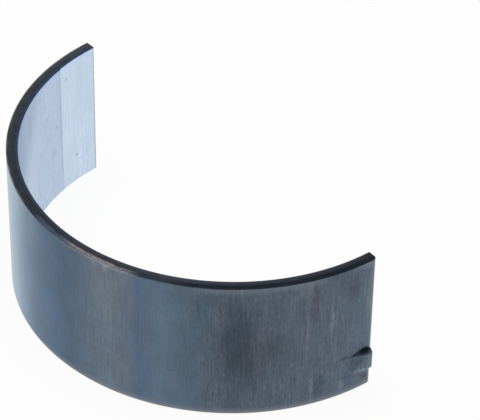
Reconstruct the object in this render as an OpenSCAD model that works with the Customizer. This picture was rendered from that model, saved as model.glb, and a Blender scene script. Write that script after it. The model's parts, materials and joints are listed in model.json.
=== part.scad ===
// Half shell of a split plain bearing, for the big end of an engine's connecting rod.
// It is one piece, pressed from steel strip with a bonded bearing lining and machined on its bore.
// Z is the journal's axis and the origin is on that axis, halfway along the bearing.
// The crown faces -Y, the two joint faces look towards +Y, and the locating tang is at the +X end.
// The shell is drawn free, as it lies on a bench: it has sprung open a little wider than its housing.

/* [Wall] */
// Bore of the rod and cap that the shell is clamped in
housing_d = 56.75; // [40:0.25:90]
// How much larger the outside diameter is while the shell is free
spring_out = 1.25; // [0.2:0.05:2.4]
// Thickness of steel back and lining together, at the crown
wall = 1.57; // [1.3:0.01:2.4]
// How much thinner the wall is at the joint faces than at the crown
wall_taper = 0.013; // [0.002:0.001:0.03]
// Width of the bearing, from side face to side face
width = 20.6; // [14:0.1:32]

/* [Edges] */
// Edge break between the bore and each side face
bore_chamfer = 0.06; // [0.04:0.01:0.4]
// Edge break between the steel back and each side face
back_chamfer = 0.08; // [0.04:0.01:0.3]

/* [Crush relief] */
// Length of bore beside each joint face that is cut clear of the journal
relief_len = 7; // [5.5:0.1:12]
// Depth of that cut
relief_depth = 0.04; // [0.02:0.01:0.08]

/* [Locating tang] */
// Width of the tang, along the bearing
tang_w = 2.85; // [2:0.05:5]
// Distance from the lower side face to the tang
tang_edge = 2.95; // [1.5:0.05:5]
// Length of wall that is bent outwards, measured round the back from the joint face
tang_len = 3.5; // [2.5:0.1:5]
// How far the tang stands out of the steel back at its tip
tang_out = 0.7; // [0.5:0.05:1.1]
// Thickness of the tang at its tip, where the press has thinned it
tang_t = 1.15; // [0.9:0.05:1.25]
// Gap from the joint face back to the tang's tip, so that the tang never holds the joint open
tang_setback = 0.4; // [0.2:0.05:0.5]
// How the tang rounds over from root to tip, from 1 for a straight ramp to 3 for a sharp root and flat tip
tang_sweep = 2; // [1:0.1:3]
// Radius of the tang's lower outer edge, where the metal was drawn down and not sheared
tang_round = 0.5; // [0.1:0.05:0.6]

/* [Hidden] */
$fn = 240;

// Flat steps along the tang's sweep
tang_steps = 12;
// How far a cutting shape runs past the face that it cuts
overrun = 1;

// Radius of the steel back and of the bore in the free state
back_r = (housing_d + spring_out) / 2;
bore_r = back_r - wall + wall_taper;
// Springing open keeps the length of the back, so the shell spans a little less than half a turn
half_angle = 90 * housing_d / (housing_d + spring_out);
// Direction of the crown, and of the joint face that has the tang
crown_angle = 270;
tang_joint_angle = crown_angle + half_angle;
// Height of the side faces from the middle, and of the tang's lower flank
half_width = width / 2;
tang_z = tang_edge - half_width;
// Depth of the hollow that the press leaves behind the tang, at its tip
hollow_depth = tang_out + wall - tang_t;

// Angle that a length takes up when it is laid round the steel back
function back_angle(length) = length / back_r * 180 / PI;

// Point in plan at an arc length from the tang's joint face and at a given radius
function plan_point(arc, radius) =
    let (angle = tang_joint_angle - back_angle(arc))
    [radius * cos(angle), radius * sin(angle)];

// Share of the full bend at an arc length from the joint face: 1 there, and 0 at the tang's root
function bend_at(arc) = 1 - pow(arc / tang_len, tang_sweep);

// Arc lengths from one end of the tang's sweep to the other
function sweep_arcs(from, to) = [for (i = [0 : tang_steps]) from + (to - from) * i / tang_steps];

// The strip rolled to a half ring, with the edges of its back broken and metal left for the bore
module rolled_strip() {
    rotate_extrude(angle = 2 * half_angle, start = crown_angle - half_angle)
        polygon([
            [bore_r - overrun, -half_width],
            [back_r - back_chamfer, -half_width],
            [back_r, back_chamfer - half_width],
            [back_r, half_width - back_chamfer],
            [back_r - back_chamfer, half_width],
            [bore_r - overrun, half_width]
        ]);
}

// Everything inside the bore. Its axis is off centre, which thins the wall towards the joint faces
module bore_cut() {
    translate([0, wall_taper, 0])
        cylinder(h = width + 2 * overrun, r = bore_r, center = true);
}

// Cone that chamfers the bore at the upper side face
module bore_chamfer_cut() {
    translate([0, 0, half_width - bore_chamfer - overrun])
        cylinder(h = bore_chamfer + 2 * overrun, r1 = bore_r - overrun, r2 = bore_r + bore_chamfer + overrun);
}

// Shallow step in the bore beside one joint face
module relief_cut(start_angle) {
    translate([0, 0, -half_width - overrun])
        rotate_extrude(angle = back_angle(relief_len + overrun), start = start_angle)
            translate([bore_r - overrun, 0])
                square([overrun + relief_depth, width + 2 * overrun]);
}

// Plan outline raised over the tang's part of the wall
module tang_prism(points) {
    translate([0, 0, tang_z])
        linear_extrude(height = tang_w)
            polygon(points);
}

// Everything beyond the round of the tang's lower outer edge
module tang_round_cut() {
    reach = tang_round + overrun;
    rotate([0, 0, tang_joint_angle])
        translate([back_r + tang_out - tang_round, overrun, tang_z + tang_round])
            rotate([90, 0, 0])
                linear_extrude(height = tang_len + 2 * overrun)
                    difference() {
                        translate([0, -reach]) square(reach);
                        circle(r = tang_round);
                    }
}

// Metal of the tang: it starts flush with the steel back and sweeps outwards up to the joint face
module tang_metal() {
    arcs = sweep_arcs(0, tang_len);
    difference() {
        tang_prism(concat(
            [for (arc = arcs) plan_point(arc, back_r + tang_out * bend_at(arc))],
            [plan_point(tang_len, back_r - wall / 2), plan_point(0, back_r - wall / 2)]
        ));
        tang_round_cut();
    }
}

// Hollow behind the tang, and the clearance in front of its tip
module tang_hollow() {
    inner_r = back_r - wall;
    arcs = sweep_arcs(tang_setback, tang_len);
    tang_prism(concat(
        [for (arc = arcs) plan_point(arc, inner_r + hollow_depth * bend_at(arc))],
        [plan_point(tang_len, inner_r - overrun), plan_point(-overrun, inner_r - overrun)],
        [plan_point(-overrun, back_r + overrun), plan_point(tang_setback, back_r + overrun)]
    ));
}

// The half ring after boring
module bored_ring() {
    difference() {
        rolled_strip();
        bore_cut();
    }
}

// The same with its bore chamfered at both side faces and relieved at both joint faces
module relieved_ring() {
    difference() {
        bored_ring();
        bore_chamfer_cut();
        mirror([0, 0, 1]) bore_chamfer_cut();
        relief_cut(tang_joint_angle - back_angle(relief_len));
        relief_cut(crown_angle - half_angle - back_angle(overrun));
    }
}

// The finished shell
module bearing_shell() {
    color("slategray")
        difference() {
            union() {
                relieved_ring();
                tang_metal();
            }
            tang_hollow();
        }
}

bearing_shell();
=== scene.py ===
"""Looks of the engine bearing shell: its dressed mesh, its finishes, and a plain white studio."""
import json
import math

import bpy
from mathutils import Matrix, Vector


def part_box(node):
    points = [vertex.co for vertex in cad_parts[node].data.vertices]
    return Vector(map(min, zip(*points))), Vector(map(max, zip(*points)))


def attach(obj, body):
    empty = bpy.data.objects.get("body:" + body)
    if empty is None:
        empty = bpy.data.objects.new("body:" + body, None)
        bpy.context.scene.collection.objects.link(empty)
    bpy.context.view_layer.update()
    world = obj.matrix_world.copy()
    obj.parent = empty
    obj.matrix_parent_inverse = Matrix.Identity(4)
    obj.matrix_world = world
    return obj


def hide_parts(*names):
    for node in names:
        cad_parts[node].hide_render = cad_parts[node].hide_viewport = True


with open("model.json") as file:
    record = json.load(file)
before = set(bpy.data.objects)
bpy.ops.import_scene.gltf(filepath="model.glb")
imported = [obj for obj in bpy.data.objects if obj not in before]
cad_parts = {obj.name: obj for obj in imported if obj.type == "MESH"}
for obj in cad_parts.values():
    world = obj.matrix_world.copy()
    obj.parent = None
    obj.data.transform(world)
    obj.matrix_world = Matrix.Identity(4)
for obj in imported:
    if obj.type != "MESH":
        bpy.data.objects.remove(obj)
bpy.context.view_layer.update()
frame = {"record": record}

# Lengths of the shell and places on it are in millimetres. Those of the studio and the camera are in metres
MM = 0.001

# Sizes that the frame gives
mounts = {mount["name"]: mount for mount in frame["record"]["mounts"]}
BACK_R = mounts["housing_seat"]["dims"]["r_mm"]
BORE_R = mounts["journal_bore"]["dims"]["r_mm"]
HALF_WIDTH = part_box("bearing_shell")[1].z / MM
TANG_Z = mounts["locating_tang"]["pos_m"][2] / MM
# The normal of the tang's joint face is turned from +X as far as that face is from the crown
joint_normal = mounts["tang_joint_face"]["axis"]
HALF_ANGLE = math.atan2(joint_normal[1], joint_normal[0])
FULL_ARC = 2 * HALF_ANGLE * BACK_R

# Sizes of the wall, of its edges and of the crush relief
WALL = 1.57
WALL_TAPER = 0.013
BACK_EDGE = 0.08
BORE_CHAMFER = 0.06
SOFT_CORNER = 0.025
RELIEF_LEN = 7.0
RELIEF_DEPTH = 0.04

# Sizes of the tang
TANG_W = 2.85
TANG_LEN = 3.5
TANG_OUT = 0.7
TANG_T = 1.15
TANG_SETBACK = 0.4
TANG_SWEEP = 2
HOLLOW_DEPTH = TANG_OUT + WALL - TANG_T
# Arc over which the rows of the tang close up, because its tip is set back from the joint face
SETTLING_ARC = 3 * TANG_SETBACK

# Rounding of the joint faces' edges along the back and the bore, at the tang's end and at the plain one
JOINT_BACK_EDGES = (0.58, 0.12)
JOINT_BORE_EDGES = (0.12, 0.30)
JOINT_SIDE_EDGE = 0.08
# Rounding of the tang's outer edges: the upper one is sheared crisp, and the lower one is drawn down round
TANG_SHEARED_EDGE = 0.06
TANG_ROUND = 0.5
TANG_TIP_EDGE = 0.22
HOLLOW_EDGE = 0.05

# Fineness of the mesh
ARC_STEP = 0.45
TANG_ARC_STEP = 0.12
COLUMN_STEP = 0.5
TANG_COLUMN_STEP = COLUMN_STEP / 2
ROUND_COLUMN_STEP = 0.05
SHEARED_COLUMN_STEP = ROUND_COLUMN_STEP / 3
# Distance of the outermost columns from the side faces
COLUMN_MARGIN = 0.5
# Width of the strip of faces that makes each flank of the tang
FLANK = 0.012
# Places of the rows on a joint face's rounded edges, as shares of the widest of them
END_ROW_SHARES = (0.0, 0.02, 0.06, 0.12, 0.2, 0.3, 0.45, 0.7)
SHARP_ANGLE = math.radians(40)
TOLERANCE = 1e-6

# Material slots of the piece, in the order of their finishes
STEEL, SIDE, LINING, JOINT = range(4)
# Strips of each rounded outer edge that have the finish of the back and not of the side face
BACK_STRIPS = 1


def spread(start, stop, step):
    """Even stations from start to stop, both included, no further apart than step."""
    count = max(1, math.ceil((stop - start) / step))
    return [start + (stop - start) * i / count for i in range(count + 1)]


def joined(*runs):
    """Runs of stations as one rising list, with the ends that they share kept once."""
    stations = []
    for run in runs:
        for station in run:
            if not stations or station > stations[-1] + TOLERANCE:
                stations.append(station)
    return stations


def bend_at(arc):
    """Share of the tang's full bend at an arc from its joint face."""
    if arc >= TANG_LEN:
        return 0.0
    return 1 - (arc / TANG_LEN) ** TANG_SWEEP


def edge_drop(depth, radius):
    """How far a rounded edge lies below its face, at a depth in from the flank."""
    if depth >= radius:
        return 0.0
    return radius - math.sqrt(radius ** 2 - (radius - depth) ** 2)


def tang_depths(z):
    """Distance of a height from the tang's lower flank and from its upper one, inside the tang."""
    return z - (TANG_Z - TANG_W / 2), TANG_Z + TANG_W / 2 - z


def is_tang(z):
    """Whether a height is between the tang's flanks."""
    return min(tang_depths(z)) >= -TOLERANCE


def outer_radius(arc, z):
    """Radius of the steel back, and of the tang where it stands out of it."""
    if not is_tang(z):
        return BACK_R
    lower, upper = tang_depths(z)
    swept = BACK_R + TANG_OUT * bend_at(arc) - edge_drop(upper, TANG_SHEARED_EDGE)
    # The round runs straight along the tang, so it meets the sweep at its own height
    rounded = (BACK_R + TANG_OUT - edge_drop(lower, TANG_ROUND)) / math.cos(arc / BACK_R)
    return max(BACK_R, min(swept, rounded))


def bore_radius(arc):
    """Radius of the bore, which is relieved near both joint faces and thins the wall towards them."""
    angle = HALF_ANGLE - arc / BACK_R
    relieved = min(arc, FULL_ARC - arc) < RELIEF_LEN
    return BORE_R - WALL_TAPER * math.cos(angle) + (RELIEF_DEPTH if relieved else 0.0)


def inner_radius(arc, z):
    """Radius of the bore, and of the hollow behind the tang."""
    if not is_tang(z):
        return bore_radius(arc)
    drop = edge_drop(min(tang_depths(z)), HOLLOW_EDGE)
    return max(bore_radius(arc), BACK_R - WALL + HOLLOW_DEPTH * bend_at(arc) - drop)


def settled_arc(arc, z):
    """Arc of a point after the tang's tip has been set back from the joint face."""
    if not is_tang(z) or arc >= SETTLING_ARC:
        return arc
    return TANG_SETBACK + arc * (SETTLING_ARC - TANG_SETBACK) / SETTLING_ARC


def column_heights():
    """Heights of the mesh's columns, closer together at the tang's flanks and rounded edges."""
    end = HALF_WIDTH - COLUMN_MARGIN
    low = TANG_Z - TANG_W / 2
    high = TANG_Z + TANG_W / 2
    soft_low = low + TANG_ROUND
    soft_high = high - 2 * TANG_SHEARED_EDGE
    return joined(
        spread(-end, low - FLANK, COLUMN_STEP),
        spread(low, soft_low, ROUND_COLUMN_STEP),
        spread(soft_low, soft_high, TANG_COLUMN_STEP),
        spread(soft_high, high, SHEARED_COLUMN_STEP),
        spread(high + FLANK, end, COLUMN_STEP),
    )


def row_stations():
    """Arc of each row of the mesh, closer together at the rounded ends, the tang and the relief's steps."""
    reach = max(JOINT_BACK_EDGES + JOINT_BORE_EDGES)
    ends = [share * reach for share in END_ROW_SHARES]
    tang_end = TANG_LEN + TANG_ARC_STEP
    half_step = RELIEF_DEPTH / 2
    return joined(
        ends,
        spread(reach, tang_end, TANG_ARC_STEP),
        spread(tang_end, RELIEF_LEN - half_step, ARC_STEP),
        spread(RELIEF_LEN + half_step, FULL_ARC - RELIEF_LEN - half_step, ARC_STEP),
        spread(FULL_ARC - RELIEF_LEN + half_step, FULL_ARC - reach, ARC_STEP),
        [FULL_ARC - arc for arc in reversed(ends)],
    )


def corner(point, before, after, reach, steps=4):
    """Points of a soft corner between the directions of the two neighbouring points."""
    start = point + (before - point).normalized() * reach
    stop = point + (after - point).normalized() * reach
    shares = [i / steps for i in range(steps + 1)]
    return [start * (1 - t) ** 2 + point * 2 * t * (1 - t) + stop * t ** 2 for t in shares]


def joint_insets(arc):
    """How far the rounded edges of the nearer joint face lie in from the back, the bore and the sides."""
    end = 0 if arc < FULL_ARC / 2 else 1
    depth = min(arc, FULL_ARC - arc)
    radii = (JOINT_BACK_EDGES[end], JOINT_BORE_EDGES[end], JOINT_SIDE_EDGE)
    return [edge_drop(depth, radius) for radius in radii]


def side_profile(arc):
    """(radius, height) points over the upper side face, from the steel back to the bore."""
    back_inset, bore_inset, side_inset = joint_insets(arc)
    back = BACK_R - back_inset
    bore = bore_radius(arc) + bore_inset
    height = HALF_WIDTH - side_inset
    below_back = Vector((back, 0))
    back_corner = Vector((back, height))
    # The chamfer lies at 45 degrees, so it is as high as it is deep
    chamfer_r = BORE_R + BORE_CHAMFER + bore_inset
    chamfer_top = Vector((chamfer_r, height))
    chamfer_foot = Vector((bore, height - (chamfer_r - bore)))
    below_bore = Vector((bore, 0))
    return (
        corner(back_corner, below_back, chamfer_top, BACK_EDGE)
        + corner(chamfer_top, back_corner, chamfer_foot, SOFT_CORNER)
        + corner(chamfer_foot, chamfer_top, below_bore, SOFT_CORNER)
    )


def section(arc, heights):
    """Closed loop of (radius, height, arc) round the wall: back, upper side, bore, lower side."""
    profile = side_profile(arc)
    back_inset, bore_inset, _ = joint_insets(arc)
    settled = [settled_arc(arc, z) for z in heights]
    tip_inset = edge_drop(arc, TANG_TIP_EDGE)
    insets = [tip_inset if is_tang(z) and arc < TANG_LEN else back_inset for z in heights]
    back = [(outer_radius(s, z) - inset, z, s) for s, z, inset in zip(settled, heights, insets)]
    bore = [(inner_radius(s, z) + bore_inset, z, s) for s, z in zip(settled, heights)]
    upper = [(radius, z, arc) for radius, z in profile]
    lower = [(radius, -z, arc) for radius, z in reversed(profile)]
    return back + upper + bore[::-1] + lower


def place(radius, z, arc):
    """Point of the shell, in metres, from its radius, its height and its arc from the tang's joint."""
    angle = HALF_ANGLE - arc / BACK_R
    return Vector((radius * math.sin(angle), -radius * math.cos(angle), z)) * MM


def is_sheared_flank(low, high):
    """Whether the strip of faces between two neighbouring heights is the tang's upper flank."""
    return low > TANG_Z and high - low <= FLANK + TOLERANCE


def strip_slots(heights, profile_len):
    """Material slots of the strips of faces round a loop, in the order of the loop's points."""
    back = [SIDE if is_sheared_flank(*pair) else STEEL for pair in zip(heights, heights[1:])]
    # One strip joins the columns of the back or the bore to the profile of each side
    edge = [STEEL] * (1 + BACK_STRIPS)
    side = [SIDE] * (profile_len - 1 - BACK_STRIPS)
    bore = [LINING] * (len(heights) + 1)
    return back + edge + side + bore + side + edge


def cap_faces(first, heights, profile_len):
    """Faces of a joint face, on the loop whose first vertex is given."""
    count = len(heights)
    outer = [first + k for k in range(count)]
    upper = [first + count + k for k in range(profile_len)]
    inner = [first + count + profile_len + k for k in range(count)][::-1]
    lower = [first + 2 * count + profile_len + k for k in range(profile_len)]
    faces = [(outer[k], outer[k + 1], inner[k + 1], inner[k]) for k in range(count - 1)]
    faces.append((outer[-1], *upper, inner[-1]))
    faces.append((inner[0], *lower, outer[0]))
    return faces


def build_shell():
    """The dressed half shell: one closed mesh, with its place on the unrolled strip kept at each point."""
    heights = column_heights()
    profile_len = len(side_profile(FULL_ARC / 2))
    loops = [section(arc, heights) for arc in row_stations()]
    size = len(loops[0])
    points = [place(*point) for loop in loops for point in loop]
    faces = []
    for i in range(len(loops) - 1):
        here = i * size
        there = here + size
        for j in range(size):
            k = (j + 1) % size
            faces.append((here + j, there + j, there + k, here + k))
    end = (len(loops) - 1) * size
    caps = cap_faces(0, heights, profile_len)
    caps += [face[::-1] for face in cap_faces(end, heights, profile_len)]
    faces += caps
    slots = strip_slots(heights, profile_len) * (len(loops) - 1) + [JOINT] * len(caps)

    mesh = bpy.data.meshes.new("bearing_shell_dressed")
    mesh.from_pydata(points, [], faces)
    unrolled = mesh.attributes.new("unrolled", "FLOAT_VECTOR", "POINT")
    flat = [value for loop in loops for radius, z, arc in loop for value in (arc, z, radius)]
    unrolled.data.foreach_set("vector", flat)
    mesh.polygons.foreach_set("material_index", slots)
    mesh.polygons.foreach_set("use_smooth", [True] * len(faces))
    mesh.set_sharp_from_angle(angle=SHARP_ANGLE)
    mesh.update()
    piece = bpy.data.objects.new("bearing_shell_dressed", mesh)
    bpy.context.scene.collection.objects.link(piece)
    return piece


# Shader helpers

# Places of a colour mix's sockets
MIX_FACTOR, MIX_FIRST, MIX_SECOND, MIX_RESULT = 0, 6, 7, 2
# Value that a noise swings round, and the span that holds most of it
NOISE_MIDDLE = 0.5
NOISE_SPAN = (0.3, 0.7)
# Depth in metres of the finest marks in the metal
MARK_DEPTH = 0.00002


def feed(tree, socket, value):
    """Set a socket to a value, or link another socket to it."""
    if isinstance(value, bpy.types.NodeSocket):
        tree.links.new(value, socket)
    else:
        socket.default_value = value


def make_node(tree, kind, inputs=None, **settings):
    """A node with its settings, and its inputs set to values or linked to sockets."""
    node = tree.nodes.new(kind)
    for name, value in settings.items():
        setattr(node, name, value)
    for name, value in (inputs or {}).items():
        feed(tree, node.inputs[name], value)
    return node


def new_metal(name):
    """A metal's material, its tree and its shader."""
    material = bpy.data.materials.new(name)
    material.use_nodes = True
    tree = material.node_tree
    shader = tree.nodes["Principled BSDF"]
    shader.inputs["Metallic"].default_value = 1.0
    return material, tree, shader


def dress(tree, shader, colour, roughness, marks, bump):
    """Give a shader its colour, its roughness, and the fine relief of its marks."""
    feed(tree, shader.inputs["Base Color"], colour)
    feed(tree, shader.inputs["Roughness"], roughness)
    relief = make_node(tree, "ShaderNodeBump", {"Height": marks, "Strength": bump, "Distance": MARK_DEPTH})
    tree.links.new(relief.outputs["Normal"], shader.inputs["Normal"])


def strip_place(tree):
    """Sockets of the place on the unrolled strip: the whole vector, arc, height and radius."""
    attribute = make_node(tree, "ShaderNodeAttribute", attribute_name="unrolled")
    parts = make_node(tree, "ShaderNodeSeparateXYZ", {"Vector": attribute.outputs["Vector"]})
    return attribute.outputs["Vector"], parts.outputs["X"], parts.outputs["Y"], parts.outputs["Z"]


def math_node(tree, operation, first, second):
    """Sum, difference or the like of two numbers."""
    node = make_node(tree, "ShaderNodeMath", {0: first, 1: second}, operation=operation)
    return node.outputs[0]


def vector_node(tree, operation, first, second):
    """Sum, difference or the like of two vectors or colours, part by part."""
    node = make_node(tree, "ShaderNodeVectorMath", {0: first, 1: second}, operation=operation)
    return node.outputs[0]


def from_upper(tree, height):
    """Distance of a height from the strip's upper edge."""
    return math_node(tree, "SUBTRACT", HALF_WIDTH, height)


def from_joint(tree, arc):
    """Distance of an arc from the nearer joint face."""
    return math_node(tree, "MINIMUM", arc, math_node(tree, "SUBTRACT", FULL_ARC, arc))


def product(tree, *values):
    """All the given numbers multiplied together."""
    result = values[0]
    for value in values[1:]:
        result = math_node(tree, "MULTIPLY", result, value)
    return result


def noise_node(tree, where, waves, detail):
    """Noise on the strip, from its waves in a millimetre along the arc, the height and the radius."""
    scaled = vector_node(tree, "MULTIPLY", where, waves)
    return make_node(tree, "ShaderNodeTexNoise", {"Vector": scaled, "Scale": 1.0, "Detail": detail})


def noise(tree, where, waves, detail):
    """The same noise as a number."""
    return noise_node(tree, where, waves, detail).outputs["Fac"]


def ranged(tree, value, span, ends, kind="SMOOTHSTEP"):
    """A number that goes from one end to the other over a span of the value, and is held outside it."""
    node = make_node(
        tree,
        "ShaderNodeMapRange",
        {"Value": value, "From Min": span[0], "From Max": span[1], "To Min": ends[0], "To Max": ends[1]},
        interpolation_type=kind,
    )
    return node.outputs["Result"]


def risen(tree, value, span, strength=1.0):
    """Nothing below a span of the value, and full strength above it."""
    return ranged(tree, value, span, (0.0, strength))


def faded(tree, value, span, strength=1.0):
    """Full strength below a span of the value, and nothing above it."""
    return ranged(tree, value, span, (strength, 0.0))


def band(tree, value, rise, fall, strength=1.0):
    """Strength that rises over one span of the value and falls over another."""
    return product(tree, risen(tree, value, rise, strength), faded(tree, value, fall))


def inside(tree, radius, border, blur):
    """1 inside a radius and 0 outside it, blurred so far to each side."""
    return faded(tree, radius, (border - blur, border + blur))


def swung(tree, value, amount):
    """A factor that swings round 1 with a noise."""
    centred = math_node(tree, "SUBTRACT", value, NOISE_MIDDLE)
    return math_node(tree, "ADD", math_node(tree, "MULTIPLY", centred, amount), 1.0)


def mixed(tree, factor, first, second, blend="MIX"):
    """Two colours mixed by a factor."""
    node = make_node(tree, "ShaderNodeMix", data_type="RGBA", blend_type=blend)
    feed(tree, node.inputs[MIX_FACTOR], factor)
    for index, colour in ((MIX_FIRST, first), (MIX_SECOND, second)):
        feed(tree, node.inputs[index], (*colour, 1.0) if isinstance(colour, tuple) else colour)
    return node.outputs[MIX_RESULT]


def toned(tree, colour, tone):
    """A colour made lighter or darker by a factor."""
    node = make_node(tree, "ShaderNodeVectorMath", {0: colour, "Scale": tone}, operation="SCALE")
    return node.outputs[0]


def ramp(tree, value, stops):
    """A colour ramp with the given (place, colour) stops."""
    node = make_node(tree, "ShaderNodeValToRGB", {"Fac": value})
    node.color_ramp.interpolation = "EASE"
    elements = node.color_ramp.elements
    while len(elements) < len(stops):
        elements.new(0.5)
    for element, (place_at, colour) in zip(elements, stops):
        element.position = place_at
        element.color = (*colour, 1.0)
    return node.outputs["Color"]


def along_arc(tree, arc, tints):
    """A tint that changes round the bearing, from (arc, colour) stops."""
    along = math_node(tree, "DIVIDE", arc, FULL_ARC)
    return ramp(tree, along, [(at / FULL_ARC, colour) for at, colour in tints])


def warped(tree, where, waves, reach, detail=3.0):
    """The place on the strip, pushed about by noise so that what is laid there gets a ragged edge."""
    pushes = noise_node(tree, where, waves, detail).outputs["Color"]
    swing = vector_node(tree, "SUBTRACT", pushes, (NOISE_MIDDLE, NOISE_MIDDLE, NOISE_MIDDLE))
    return vector_node(tree, "ADD", where, vector_node(tree, "MULTIPLY", swing, reach))


def spotted(tree, where, colour, spots, warp):
    """A colour with soft ragged spots of other tints laid over it."""
    moved = warped(tree, where, *warp)
    for arc, height, half_arc, half_height, tint, strength in spots:
        away = vector_node(tree, "SUBTRACT", moved, (arc, height, 0.0))
        shrunk = vector_node(tree, "MULTIPLY", away, (1 / half_arc, 1 / half_height, 0.0))
        length = make_node(tree, "ShaderNodeVectorMath", {0: shrunk}, operation="LENGTH")
        cover = faded(tree, length.outputs["Value"], (0.0, 1.0), strength)
        colour = mixed(tree, cover, colour, tint)
    return colour


# Finish of the steel back

# Tints by the arc from the tang's joint face at which each is purest, and how far the noise sways them
STEEL_TINTS_AND_HIGHLIGHT = [
    (0, (0.088, 0.120, 0.160)),
    (8, (0.086, 0.112, 0.147)),
    (20, (0.075, 0.100, 0.130)),
    (25, (0.084, 0.128, 0.175)),
    (28, (0.098, 0.150, 0.207)),
    (31.2, (0.086, 0.130, 0.204)),
    (32.2, (0.113, 0.146, 0.196)),
    (35.5, (0.118, 0.156, 0.201)),
    (43, (0.057, 0.091, 0.146)),
    (49, (0.057, 0.083, 0.139)),
    # This pale stop is partly a painted highlight of the glancing reflection at this arc
    (58, (0.175, 0.220, 0.285)),
    (66, (0.110, 0.146, 0.188)),
    (74, (0.106, 0.142, 0.183)),
    (82, (0.088, 0.124, 0.168)),
]
SWAY_SPAN = (0.2, 0.8)
SWAY_REACH = 0.6

# Soft spots of heat tint and rubbing. The pale ones near the upper edge past arc 50 are a painted highlight
# over some rubbing. Each has: arc and height of the middle, reach along the arc and the height, tint,
# strength
STEEL_SPOTS_AND_HIGHLIGHTS = [
    (18.4, 0.5, 3.6, 10.0, (0.034, 0.046, 0.064), 0.86),
    (18.6, 5.5, 2.6, 4.5, (0.032, 0.050, 0.074), 0.45),
    (15.6, -1.0, 3.4, 7.0, (0.050, 0.058, 0.076), 0.50),
    (13.4, 0.5, 3.0, 5.0, (0.056, 0.068, 0.088), 0.58),
    (24.6, 0.0, 1.8, 4.5, (0.062, 0.100, 0.140), 0.45),
    (23.2, 6.0, 1.9, 5.5, (0.048, 0.086, 0.122), 0.60),
    (27.2, -6.5, 2.0, 5.5, (0.092, 0.155, 0.240), 0.55),
    (27.6, 7.0, 2.0, 4.5, (0.090, 0.155, 0.230), 0.50),
    (35.4, 5.5, 2.8, 9.0, (0.158, 0.180, 0.206), 0.68),
    (33.6, 9.2, 1.5, 1.8, (0.180, 0.200, 0.240), 0.50),
    (34.0, -7.0, 1.8, 4.5, (0.142, 0.165, 0.190), 0.55),
    (44.0, 7.0, 2.6, 5.5, (0.050, 0.090, 0.156), 0.50),
    (45.0, -4.5, 3.4, 7.0, (0.056, 0.104, 0.205), 0.60),
    # These two are a painted highlight over some rubbing, near the upper edge
    (55.5, 8.5, 5.5, 6.0, (0.320, 0.320, 0.340), 0.45),
    (50.0, 8.0, 4.0, 6.0, (0.190, 0.205, 0.230), 0.35),
    (49.5, -7.0, 3.0, 4.0, (0.044, 0.066, 0.112), 0.45),
    (8.6, 6.5, 1.3, 5.5, (0.068, 0.072, 0.092), 0.70),
    (3.4, 7.6, 2.8, 4.0, (0.056, 0.068, 0.094), 0.85),
    (5.6, 9.2, 2.2, 1.4, (0.062, 0.076, 0.094), 0.50),
    (10.2, 9.2, 1.6, 2.0, (0.128, 0.158, 0.200), 0.50),
    (38.5, -8.8, 2.4, 2.2, (0.088, 0.108, 0.130), 0.45),
    # A painted highlight over some rubbing, along the upper edge
    (56.0, 10.0, 5.0, 1.4, (0.420, 0.420, 0.430), 0.50),
    (8.0, -7.5, 1.2, 3.6, (0.048, 0.070, 0.112), 0.80),
    (3.8, -7.6, 1.4, 3.0, (0.062, 0.088, 0.132), 0.60),
    (2.6, -5.4, 1.9, 1.5, (0.046, 0.066, 0.086), 0.75),
    (0.4, -5.9, 1.8, 2.6, (0.150, 0.190, 0.210), 0.75),
    (1.2, -8.7, 2.6, 1.5, (0.064, 0.068, 0.074), 0.85),
]

# Rubbed streaks and fine scratches, in the same form
STEEL_STREAKS = [
    (9.4, 8.4, 0.55, 3.6, (0.160, 0.190, 0.222), 0.70),
    (9.6, 2.4, 0.45, 4.4, (0.160, 0.190, 0.222), 0.65),
    (6.3, 3.8, 0.36, 4.8, (0.160, 0.190, 0.220), 0.75),
    (8.9, -7.8, 0.45, 3.2, (0.155, 0.185, 0.215), 0.75),
    (4.7, -8.4, 0.50, 2.2, (0.155, 0.185, 0.215), 0.75),
    (0.5, 4.5, 1.6, 7.0, (0.215, 0.212, 0.210), 0.45),
    (35.6, 9.7, 0.7, 1.0, (0.260, 0.265, 0.275), 0.60),
    (37.4, 9.6, 0.5, 0.8, (0.260, 0.262, 0.270), 0.50),
    (35.4, -3.8, 3.2, 0.24, (0.200, 0.230, 0.265), 0.50),
    (26.0, -3.8, 2.8, 0.20, (0.056, 0.096, 0.136), 0.60),
]

# Painted shade and highlight round the tang, in the same form: painted shade above it, over the sheared
# flank and beyond its root, a painted highlight along the round lower edge, and painted shade in the
# crease beyond its lower root. A strength over 1 widens a mark's pure middle
TANG_SHADE_AND_HIGHLIGHT = [
    (2.6, -3.60, 2.6, 1.70, (0.058, 0.074, 0.096), 0.42),
    (1.2, -4.12, 1.10, 0.84, (0.030, 0.036, 0.048), 1.15),
    (4.1, -4.28, 1.4, 0.56, (0.036, 0.046, 0.058), 0.78),
    (1.4, -7.10, 2.6, 0.60, (0.215, 0.255, 0.280), 0.75),
    (4.2, -7.6, 1.5, 0.40, (0.040, 0.050, 0.064), 0.60),
]

# How each kind of spot is made ragged: waves in a millimetre of the noise, and how far it pushes
SPOT_WARP = ((0.5, 0.25, 0.0), (2.0, 4.0, 0.0))
STREAK_WARP = ((2.0, 0.5, 0.0), (0.4, 1.5, 0.0))
TANG_SHADE_WARP = ((3.0, 2.0, 0.0), (0.2, 0.2, 0.0))

# Patterns of the steel: waves in a millimetre along the arc, the height and the radius, then the detail
SWAY = ((0.2, 0.12, 0.0), 3.0)
HAIRLINES = ((5.5, 0.22, 0.0), 2.0)
SPECKS = ((4.5, 1.2, 3.0), 3.0)
STREAKS = ((1.5, 0.06, 0.0), 2.0)
CLOUDS = ((0.45, 0.3, 0.0), 4.0)
HUES = ((0.35, 0.12, 5.0), 3.0)

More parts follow.
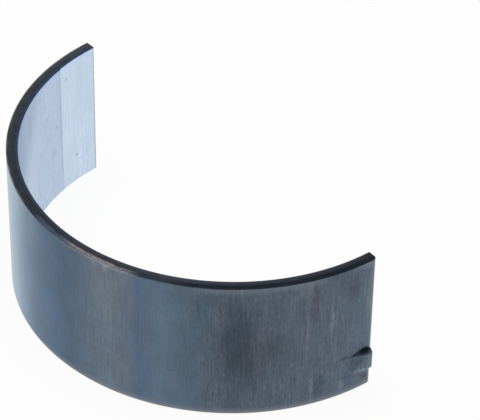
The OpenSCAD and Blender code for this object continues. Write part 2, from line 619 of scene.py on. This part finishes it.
# Strength of those patterns. They weaken where the blue band beside the crown starts, and recover past it
BAND_START = (21.0, 26.0)
BAND_END = (31.0, 35.0)
WEAKENED = 0.42
RECOVERED = 1.5
HAIRLINE_SWING = 0.95
SPECK_SWING_AT_TANG = 1.0
SPECK_SWING = 0.75
STREAK_SWING = 0.4
CLOUD_SWING = 0.4
# Cast where the noise of the hues is high
PURPLE_STEEL = (0.104, 0.104, 0.132)
PURPLE_SPAN = (0.45, 0.7)
PURPLE_STRENGTH = 0.3
# Roughness, which follows the streaks, and strength of the hairlines' relief
STEEL_ROUGHNESS = (0.24, 0.33)
STEEL_BUMP = 0.06

# Spans of arc outside the strip, for a line that is full right up to a joint face
BEFORE = (-2.0, -1.0)
BEYOND = (FULL_ARC + 1.0, FULL_ARC + 2.0)

# Painted highlights along the edge breaks, as pale lines: the edge, the span over which the line fades
# inwards, its tint, and its stretches, each with the span of arc in which it rises, the one in which it
# falls, and its strength
EDGE_HIGHLIGHTS = [
    ("upper", (0.1, 1.3), (0.20, 0.23, 0.27), [
        (BEFORE, (1.5, 3.5), 0.46),
        ((6.0, 10.0), (21.0, 25.5), 0.38),
    ]),
    ("upper", (0.08, 0.6), (0.20, 0.23, 0.27), [
        ((29.0, 34.0), (34.0, 40.0), 0.35),
        ((40.0, 42.0), (43.0, 45.5), 0.30),
        ((47.0, 51.0), BEYOND, 0.45),
    ]),
    ("lower", (0.1, 1.2), (0.205, 0.222, 0.245), [(BEFORE, (42.0, 53.0), 0.50)]),
    ("lower", (0.1, 0.45), (0.27, 0.275, 0.285), [(BEFORE, (42.0, 53.0), 0.36)]),
    ("joint", (0.2, 0.9), (0.27, 0.245, 0.23), [(BEFORE, BEYOND, 0.50)]),
]

# Stretch of the upper outer edge that is rubbed through to bare metal: the spans of arc where it starts
# and ends, how much is left at its breaks, and how far it reaches over the back
RUBBED_START = (31.5, 35.0)
RUBBED_END = (40.0, 43.5)
RUBBED_BREAKS = ((1.3, 0.0, 1.5), 5.0)
BREAK_SPAN = (0.38, 0.58)
BREAK_ENDS = (0.35, 1.1)
BACK_RUB_SPAN = (0.06, 0.30)
BACK_RUB_STRENGTH = 0.22
BARE_METAL = (0.620, 0.570, 0.560)

# Tint of the steel's reflection at a glancing angle
GLANCING_TINT = (0.60, 0.82, 1.0, 1.0)
# Oil film on the steel
FILM_WEIGHT = 0.6
FILM_ROUGHNESS = 0.2
FILM_IOR = 1.5
# Light that the film returns when it is seen squarely, and the darkest steel under it
FILM_LIGHT = (0.0195, 0.0195, 0.0195)
DARKEST_STEEL = (0.004, 0.005, 0.007)


def rubbed_stretch(tree, where, arc):
    """How far the upper outer edge is rubbed at an arc: most in the middle of its stretch, with breaks."""
    breaks = ranged(tree, noise(tree, where, *RUBBED_BREAKS), BREAK_SPAN, BREAK_ENDS)
    return product(tree, band(tree, arc, RUBBED_START, RUBBED_END), breaks)


def highlighted_edges(tree, arc, height, colour):
    """A colour of the steel back with painted highlights, as pale lines, along its edges and its ends."""
    from_edge = {
        "upper": from_upper(tree, height),
        "lower": math_node(tree, "ADD", height, HALF_WIDTH),
        "joint": from_joint(tree, arc),
    }
    for edge, fade, tint, stretches in EDGE_HIGHLIGHTS:
        strength = 0.0
        for stretch in stretches:
            strength = math_node(tree, "ADD", band(tree, arc, *stretch), strength)
        line = product(tree, faded(tree, from_edge[edge], fade), strength)
        colour = mixed(tree, line, colour, tint)
    return colour


def steel_grain(tree, where, arc, hairlines, streaks):
    """Tone of the steel's hairlines, specks, streaks and clouds, at their strengths round the bearing."""
    strength = product(
        tree,
        ranged(tree, arc, BAND_START, (1.0, WEAKENED)),
        ranged(tree, arc, BAND_END, (1.0, RECOVERED)),
    )
    speck_swing = ranged(tree, arc, BAND_START, (SPECK_SWING_AT_TANG, SPECK_SWING))
    return product(
        tree,
        swung(tree, hairlines, product(tree, strength, HAIRLINE_SWING)),
        swung(tree, noise(tree, where, *SPECKS), product(tree, strength, speck_swing)),
        swung(tree, streaks, product(tree, strength, STREAK_SWING)),
        swung(tree, noise(tree, where, *CLOUDS), CLOUD_SWING),
    )


def steel_back():
    """Dark oiled steel: hairlines along the bearing, bands and spots of heat tint, a rubbed edge, painted
    highlights along the edges and near the upper edge past arc 50, and painted shade and highlight round
    the tang.
    """
    material, tree, shader = new_metal("steel_back")
    shader.inputs["Specular Tint"].default_value = GLANCING_TINT
    shader.inputs["Coat Weight"].default_value = FILM_WEIGHT
    shader.inputs["Coat Roughness"].default_value = FILM_ROUGHNESS
    shader.inputs["Coat IOR"].default_value = FILM_IOR
    where, arc, height, _ = strip_place(tree)

    sway = ranged(tree, noise(tree, where, *SWAY), SWAY_SPAN, (-SWAY_REACH, SWAY_REACH), "LINEAR")
    tint = along_arc(tree, math_node(tree, "ADD", arc, sway), STEEL_TINTS_AND_HIGHLIGHT)
    tint = spotted(tree, where, tint, STEEL_SPOTS_AND_HIGHLIGHTS, SPOT_WARP)
    tint = spotted(tree, where, tint, STEEL_STREAKS, STREAK_WARP)
    # Painted shade and highlight round the tang
    tint = spotted(tree, where, tint, TANG_SHADE_AND_HIGHLIGHT, TANG_SHADE_WARP)

    hairlines = noise(tree, where, *HAIRLINES)
    streaks = noise(tree, where, *STREAKS)
    grain = steel_grain(tree, where, arc, hairlines, streaks)
    purple = risen(tree, noise(tree, where, *HUES), PURPLE_SPAN, PURPLE_STRENGTH)
    colour = toned(tree, mixed(tree, purple, tint, PURPLE_STEEL), grain)

    # Painted highlights along the edge breaks
    colour = highlighted_edges(tree, arc, height, colour)
    rubbed = product(
        tree,
        faded(tree, from_upper(tree, height), BACK_RUB_SPAN, BACK_RUB_STRENGTH),
        rubbed_stretch(tree, where, arc),
    )
    colour = mixed(tree, rubbed, colour, BARE_METAL)

    # The tints are those that the oiled steel shows, so the light that the film adds comes off them
    bare = vector_node(tree, "SUBTRACT", colour, FILM_LIGHT)
    colour = vector_node(tree, "MAXIMUM", bare, DARKEST_STEEL)
    roughness = ranged(tree, streaks, NOISE_SPAN, STEEL_ROUGHNESS, "LINEAR")
    dress(tree, shader, colour, roughness, hairlines, STEEL_BUMP)
    return material


# Finish of the side faces

# Tints by arc of the lining's edge along the bore, of the seam, and of the steel
SIDE_LINING_TINTS = [
    (0, (0.080, 0.090, 0.085)),
    (2, (0.105, 0.125, 0.165)),
    (15, (0.105, 0.125, 0.170)),
    (26, (0.130, 0.158, 0.215)),
    (40, (0.100, 0.125, 0.175)),
    (55, (0.085, 0.125, 0.200)),
    (80, (0.080, 0.128, 0.270)),
]
SIDE_SEAM_TINTS = [
    (0, (0.066, 0.074, 0.068)),
    (2, (0.069, 0.085, 0.116)),
    (15, (0.074, 0.088, 0.120)),
    (27, (0.100, 0.116, 0.158)),
    (40, (0.085, 0.093, 0.127)),
    (54, (0.062, 0.079, 0.106)),
    (70, (0.074, 0.097, 0.145)),
    (80, (0.074, 0.097, 0.145)),
    (86, (0.098, 0.125, 0.178)),
]
SIDE_STEEL_TINTS = [
    (0, (0.052, 0.058, 0.050)),
    (1.8, (0.034, 0.043, 0.062)),
    (5, (0.024, 0.035, 0.050)),
    (10, (0.034, 0.043, 0.062)),
    (24, (0.036, 0.046, 0.064)),
    (29, (0.068, 0.092, 0.118)),
    (33, (0.046, 0.052, 0.068)),
    (50, (0.063, 0.080, 0.105)),
    (58, (0.083, 0.094, 0.112)),
    (70, (0.096, 0.118, 0.124)),
    (80, (0.098, 0.118, 0.118)),
    (86, (0.114, 0.138, 0.136)),
]
LINING_THICKNESS = 0.33
LINING_BLUR = 0.14
SEAM_WIDTH = 0.45
SEAM_BLUR = 0.18

# Outer strip of the upper side face that is rubbed: its tints by arc, the spans of arc where it starts
# and ends, and the span inwards from the back in which it ends, which a noise makes ragged
RUBBED_TINTS = [
    (30, (0.055, 0.068, 0.090)),
    (33, (0.220, 0.235, 0.275)),
    (37, (0.360, 0.370, 0.410)),
    (43, (0.150, 0.185, 0.255)),
    (47.5, (0.125, 0.160, 0.240)),
    (50, (0.063, 0.080, 0.105)),
]
STRIP_START = (29.5, 31.5)
STRIP_END = (48.5, 50.5)
STRIP_SPAN = (0.48, 0.78)
RAGGED_REACH = 0.08
# Span of heights that tells the upper side face from the lower one
UPPER_SIDE = (0.0, 1.0)
# Bare metal within the strip and the brown border along it: the spans inwards in which each rises and
# falls, and its strength
BARE_BAND = ((0.12, 0.35), (0.48, 0.65), 0.85)
BROWN_BAND = ((0.50, 0.65), (0.75, 0.95), 0.60)
BROWN_METAL = (0.160, 0.110, 0.085)
# Past the crown the outer edge is worn pale: the span inwards, its strength, and the span of arc
WORN_SPAN = (0.04, 0.26)
WORN_STRENGTH = 0.7
WORN_START = (48.0, 56.0)
WORN_METAL = (0.400, 0.420, 0.440)

# The tang's flank is sheared at the tip. Towards its root it is drawn, and there a painted highlight raises
# its tint so that it renders as light as the back
SHEARED_METAL = (0.140, 0.165, 0.230)
SHEARED_SPAN = (0.0, 0.02)
DRAWN_HIGHLIGHT_METAL = (0.340, 0.400, 0.480)
DRAWN_HIGHLIGHT_OUTWARD = ((0.0, 0.01), (0.12, 0.34))
DRAWN_HIGHLIGHT_ARC = ((1.3, 2.3), (2.6, 3.2))

# Patterns, in the form of the steel back's, and how strong they are
TURNING_MARKS = ((0.08, 0.0, 7.0), 3.0)
STAINS = ((0.6, 0.0, 1.4), 4.0)
TURNING_SWING = 0.9
STAIN_SWING = 0.8
SIDE_ROUGHNESS = 0.32
SIDE_BUMP = 0.08


def rubbed_edge(tree, where, arc, height, inward, tint):
    """A tint with the rubbed strip along the upper side's outer edge, and the worn edge that follows it."""
    upper = risen(tree, height, UPPER_SIDE)
    strip = product(
        tree,
        upper,
        faded(tree, inward, STRIP_SPAN),
        band(tree, arc, STRIP_START, STRIP_END),
    )
    bared = product(tree, upper, rubbed_stretch(tree, where, arc))
    brown = product(tree, bared, band(tree, inward, *BROWN_BAND))
    bare = product(tree, bared, band(tree, inward, *BARE_BAND))
    worn = product(
        tree,
        upper,
        faded(tree, inward, WORN_SPAN, WORN_STRENGTH),
        risen(tree, arc, WORN_START),
    )
    tint = mixed(tree, strip, tint, along_arc(tree, arc, RUBBED_TINTS))
    tint = mixed(tree, brown, tint, BROWN_METAL)
    tint = mixed(tree, bare, tint, BARE_METAL)
    return mixed(tree, worn, tint, WORN_METAL)


def side_face():
    """Dark machined side of the strip, with turning marks, the lining's bluer edge, a rubbed stretch, and a
    painted highlight on the tang's drawn flank.
    """
    material, tree, shader = new_metal("side_face")
    where, arc, height, radius = strip_place(tree)
    marks = noise(tree, where, *TURNING_MARKS)
    stain = noise(tree, where, *STAINS)
    lining_top = BORE_R + LINING_THICKNESS
    in_seam = inside(tree, radius, lining_top + SEAM_WIDTH, SEAM_BLUR)
    in_lining = inside(tree, radius, lining_top, LINING_BLUR)
    tint = along_arc(tree, arc, SIDE_STEEL_TINTS)
    tint = mixed(tree, in_seam, tint, along_arc(tree, arc, SIDE_SEAM_TINTS))
    tint = mixed(tree, in_lining, tint, along_arc(tree, arc, SIDE_LINING_TINTS))

    ragged = ranged(tree, stain, NOISE_SPAN, (-RAGGED_REACH, RAGGED_REACH), "LINEAR")
    inward = math_node(tree, "SUBTRACT", BACK_R, math_node(tree, "ADD", radius, ragged))
    tint = rubbed_edge(tree, where, arc, height, inward, tint)

    outward = math_node(tree, "SUBTRACT", radius, BACK_R)
    # Painted highlight on the drawn part of the tang's upward flank
    drawn_highlight = product(tree, band(tree, outward, *DRAWN_HIGHLIGHT_OUTWARD), band(tree, arc, *DRAWN_HIGHLIGHT_ARC))
    tint = mixed(tree, risen(tree, outward, SHEARED_SPAN), tint, SHEARED_METAL)
    tint = mixed(tree, drawn_highlight, tint, DRAWN_HIGHLIGHT_METAL)

    tone = product(tree, swung(tree, marks, TURNING_SWING), swung(tree, stain, STAIN_SWING))
    dress(tree, shader, toned(tree, tint, tone), SIDE_ROUGHNESS, marks, SIDE_BUMP)
    return material


# Finish of the lined bore

# Small dark pits and faint rubbed spots, in the form of the steel back's spots
LINING_SPOTS = [
    (80.7, 1.4, 0.28, 0.45, (0.18, 0.23, 0.33), 0.80),
    (78.3, 4.2, 0.25, 0.30, (0.20, 0.25, 0.36), 0.70),
    (77.8, 6.6, 0.50, 0.60, (0.30, 0.37, 0.50), 0.50),
    (83.4, 7.8, 0.45, 0.35, (0.28, 0.36, 0.46), 0.70),
    (85.2, -5.9, 0.35, 0.30, (0.20, 0.28, 0.34), 0.90),
    (79.8, -2.6, 1.00, 1.20, (0.33, 0.42, 0.57), 0.50),
    (83.4, -6.0, 0.12, 2.20, (0.38, 0.48, 0.60), 0.60),
    (75.2, -5.0, 0.40, 3.50, (0.36, 0.46, 0.60), 0.50),
    (81.8, 0.0, 0.35, 12.0, (0.36, 0.45, 0.62), 0.60),
    (72.8, 6.6, 1.30, 3.40, (0.30, 0.39, 0.53), 0.45),
]
PIT_WARP = ((1.0, 1.0, 0.0), (0.3, 0.5, 0.0))

# Tints by arc: it is darker over the crown in a painted shade, in a zone that leans by so much arc for each
# millimetre of height above a level
LINING_TINTS_AND_SHADE = [
    (20, (0.470, 0.576, 0.733)),
    (45, (0.365, 0.465, 0.620)),
    (60, (0.335, 0.440, 0.595)),
    (67, (0.355, 0.460, 0.615)),
    (74.5, (0.470, 0.576, 0.733)),
]
SHADE_LEAN = 0.7
SHADE_LEVEL = 2.0
RELIEVED_LINING = (0.575, 0.69, 0.83)
# Span of arc from a joint face in which the finish of the relief ends
RELIEF_BLUR = 0.05
RELIEF_STEP = (RELIEF_LEN - RELIEF_BLUR, RELIEF_LEN + RELIEF_BLUR)

# Faint casts: two where a noise is low and where it is high, and one along the upper edge
LILAC_CAST = (1.015, 0.99, 1.02)
LILAC_SPAN = (0.38, 0.5)
GREEN_CAST = (0.98, 1.01, 1.0)
GREEN_SPAN = (0.5, 0.62)
BLUE_CAST = (0.95, 0.98, 1.06)
BLUE_SPAN = (0.2, 1.0)

# Dull burr along the joint faces' edges: its span and strength, and how a noise breaks it
BURR_METAL = (0.34, 0.36, 0.38)
BURR_SPAN = (0.2, 0.5)
BURR_STRENGTH = 0.85
BURR_BREAK_SPAN = (0.3, 0.6)
BURR_BREAK_ENDS = (0.5, 1.0)

# Patterns, in the form of the steel back's, and how strong they are
CASTS = ((0.5, 0.35, 2.0), 3.0)
BORING_MARKS = ((2.6, 0.08, 0.0), 3.0)
MOTTLE = ((2.4, 0.9, 0.0), 4.0)
BORE_CLOUDS = ((0.25, 0.25, 0.0), 4.0)
BURRS = ((0.0, 1.5, 0.0), 4.0)
RELIEF_MARK_SWING = 0.24
BORING_MARK_SWING = 0.18
MOTTLE_SWING = 0.22
BORE_CLOUD_SWING = 0.15
LINING_ROUGHNESS = 0.34
LINING_BUMP = 0.05


def lining():
    """Pale bored bearing metal, brighter where the crush relief has been cut beside the joint faces, with
    painted shade over the crown.
    """
    material, tree, shader = new_metal("lining")
    where, arc, height, _ = strip_place(tree)
    depth = from_joint(tree, arc)
    # Painted shade over the crown, leaning with height
    shade_lean = product(tree, math_node(tree, "SUBTRACT", height, SHADE_LEVEL), SHADE_LEAN)
    bored_and_shaded = along_arc(tree, math_node(tree, "SUBTRACT", arc, shade_lean), LINING_TINTS_AND_SHADE)
    tint = mixed(tree, risen(tree, depth, RELIEF_STEP), RELIEVED_LINING, bored_and_shaded)

    casts = noise(tree, where, *CASTS)
    tint = mixed(tree, faded(tree, casts, LILAC_SPAN), tint, LILAC_CAST, "MULTIPLY")
    tint = mixed(tree, risen(tree, casts, GREEN_SPAN), tint, GREEN_CAST, "MULTIPLY")
    tint = mixed(tree, faded(tree, from_upper(tree, height), BLUE_SPAN), tint, BLUE_CAST, "MULTIPLY")
    tint = spotted(tree, where, tint, LINING_SPOTS, PIT_WARP)

    marks = noise(tree, where, *BORING_MARKS)
    mark_swing = ranged(tree, depth, RELIEF_STEP, (RELIEF_MARK_SWING, BORING_MARK_SWING))
    tone = product(
        tree,
        swung(tree, marks, mark_swing),
        swung(tree, noise(tree, where, *MOTTLE), MOTTLE_SWING),
        swung(tree, noise(tree, where, *BORE_CLOUDS), BORE_CLOUD_SWING),
    )
    burr = product(
        tree,
        faded(tree, depth, BURR_SPAN, BURR_STRENGTH),
        ranged(tree, noise(tree, where, *BURRS), BURR_BREAK_SPAN, BURR_BREAK_ENDS),
    )
    colour = mixed(tree, burr, toned(tree, tint, tone), BURR_METAL)
    dress(tree, shader, colour, LINING_ROUGHNESS, marks, LINING_BUMP)
    return material


# Finish of the joint faces

JOINT_STEEL = (0.22, 0.29, 0.34)
JOINT_LINING = (0.12, 0.18, 0.28)
JOINT_SEAM_BLUR = 0.04
# Patterns, in the form of the steel back's, and how strong they are
BROACH_MARKS = ((0.0, 4.0, 0.5), 3.0)
PITS = ((0.0, 2.5, 2.5), 2.0)
BROACH_SWING = 0.8
PIT_SPAN = (0.28, 0.36)
PIT_ENDS = (0.5, 1.0)
JOINT_ROUGHNESS = 0.36
JOINT_BUMP = 0.08


def joint_face():
    """Broached joint face: bright steel with the lining as a darker, bluer stripe along the bore."""
    material, tree, shader = new_metal("joint_face")
    where, _, _, radius = strip_place(tree)
    lined = inside(tree, radius, BORE_R + LINING_THICKNESS, JOINT_SEAM_BLUR)
    marks = noise(tree, where, *BROACH_MARKS)
    pits = ranged(tree, noise(tree, where, *PITS), PIT_SPAN, PIT_ENDS)
    tint = mixed(tree, lined, JOINT_STEEL, JOINT_LINING)
    tone = product(tree, swung(tree, marks, BROACH_SWING), pits)
    dress(tree, shader, toned(tree, tint, tone), JOINT_ROUGHNESS, marks, JOINT_BUMP)
    return material


# Studio

FLOOR_SIZE = 6.0
# Gap under the shell, so that its lower side and the floor don't share a plane
FLOOR_GAP = 0.00002
FLOOR_COLOUR = (0.94, 0.94, 0.94, 1.0)
# Share of the floor's own white that cameras and mirrors see, which leaves the shadow faint
FLOOR_WHITE = 0.93
# Light of the surroundings from the horizon to overhead, and the span of upward directions between them
HORIZON_TO_OVERHEAD = (1.0, 0.4)
SKY_SPAN = (0.15, 0.55)
LAMP_PLACE = (0.0, -0.1, 0.6)
LAMP_SIZE = 0.5
LAMP_POWER = 2.1


def build_floor():
    """White table that the shell stands on, which keeps a faint shadow."""
    mesh = bpy.data.meshes.new("floor")
    half = FLOOR_SIZE / 2
    level = -HALF_WIDTH * MM - FLOOR_GAP
    corners = [(-half, -half, level), (half, -half, level), (half, half, level), (-half, half, level)]
    mesh.from_pydata(corners, [], [(0, 1, 2, 3)])
    floor = bpy.data.objects.new("floor", mesh)
    bpy.context.scene.collection.objects.link(floor)
    material = bpy.data.materials.new("floor_white")
    material.use_nodes = True
    tree = material.node_tree
    tree.nodes.clear()
    rays = make_node(tree, "ShaderNodeLightPath")
    seen = math_node(tree, "MAXIMUM", rays.outputs["Is Camera Ray"], rays.outputs["Is Glossy Ray"])
    seen = math_node(tree, "MAXIMUM", seen, rays.outputs["Is Transmission Ray"])
    share = math_node(tree, "MULTIPLY", seen, FLOOR_WHITE)
    paint = make_node(tree, "ShaderNodeBsdfDiffuse", {"Color": FLOOR_COLOUR})
    white = make_node(tree, "ShaderNodeEmission", {"Strength": 1.0})
    mix = make_node(
        tree, "ShaderNodeMixShader", {0: share, 1: paint.outputs["BSDF"], 2: white.outputs["Emission"]}
    )
    make_node(tree, "ShaderNodeOutputMaterial", {"Surface": mix.outputs["Shader"]})
    mesh.materials.append(material)


def build_world():
    """White round the horizon and greyer overhead, as in a room with a lit white table."""
    world = bpy.data.worlds.new("studio")
    world.use_nodes = True
    tree = world.node_tree
    tree.nodes.clear()
    where = make_node(tree, "ShaderNodeTexCoord")
    parts = make_node(tree, "ShaderNodeSeparateXYZ", {"Vector": where.outputs["Generated"]})
    shade = ranged(tree, parts.outputs["Z"], SKY_SPAN, HORIZON_TO_OVERHEAD)
    background = make_node(tree, "ShaderNodeBackground", {"Strength": shade})
    make_node(tree, "ShaderNodeOutputWorld", {"Surface": background.outputs["Background"]})
    bpy.context.scene.world = world


def build_lamp():
    """Broad soft lamp overhead, which looks straight down."""
    data = bpy.data.lights.new("overhead", "AREA")
    data.shape = "DISK"
    data.size = LAMP_SIZE
    data.energy = LAMP_POWER
    lamp = bpy.data.objects.new("overhead", data)
    lamp.location = LAMP_PLACE
    bpy.context.scene.collection.objects.link(lamp)


# Camera, fitted to the photograph's frame

FRAME_PX = 480
FOCAL_PX = 2728.4
SENSOR_WIDTH_MM = 36.0
EYE_DISTANCE = 0.3584
EYE_AZIMUTH = math.radians(49.277)
EYE_ELEVATION = math.radians(39.298)
# Turn of the camera about its own line of sight, in radians
EYE_ROLL = 0.0191
# The view's middle, as seen by the camera: right of the journal's axis and below its middle
AIM_RIGHT = 0.001302
AIM_DOWN = 0.000797


def build_camera():
    """The photograph's viewpoint."""
    data = bpy.data.cameras.new("camera")
    data.sensor_width = SENSOR_WIDTH_MM
    data.lens = SENSOR_WIDTH_MM * FOCAL_PX / FRAME_PX
    camera = bpy.data.objects.new("camera", data)
    bpy.context.scene.collection.objects.link(camera)
    azimuth_x = math.sin(EYE_AZIMUTH)
    azimuth_y = -math.cos(EYE_AZIMUTH)
    level = math.cos(EYE_ELEVATION)
    back = Vector((azimuth_x * level, azimuth_y * level, math.sin(EYE_ELEVATION)))
    right = Vector((-azimuth_y, azimuth_x, 0.0))
    up = back.cross(right)
    eye = back * EYE_DISTANCE
    aim = right * AIM_RIGHT - up * AIM_DOWN
    turn = (aim - eye).to_track_quat("-Z", "Y").to_matrix().to_4x4()
    camera.matrix_world = Matrix.Translation(eye) @ turn @ Matrix.Rotation(EYE_ROLL, 4, "Z")
    bpy.context.scene.camera = camera


shell = build_shell()
for finish in (steel_back, side_face, lining, joint_face):
    shell.data.materials.append(finish())
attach(shell, "root")
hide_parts("bearing_shell")
build_floor()
build_world()
build_lamp()
build_camera()
bpy.context.scene.view_settings.view_transform = "Standard"
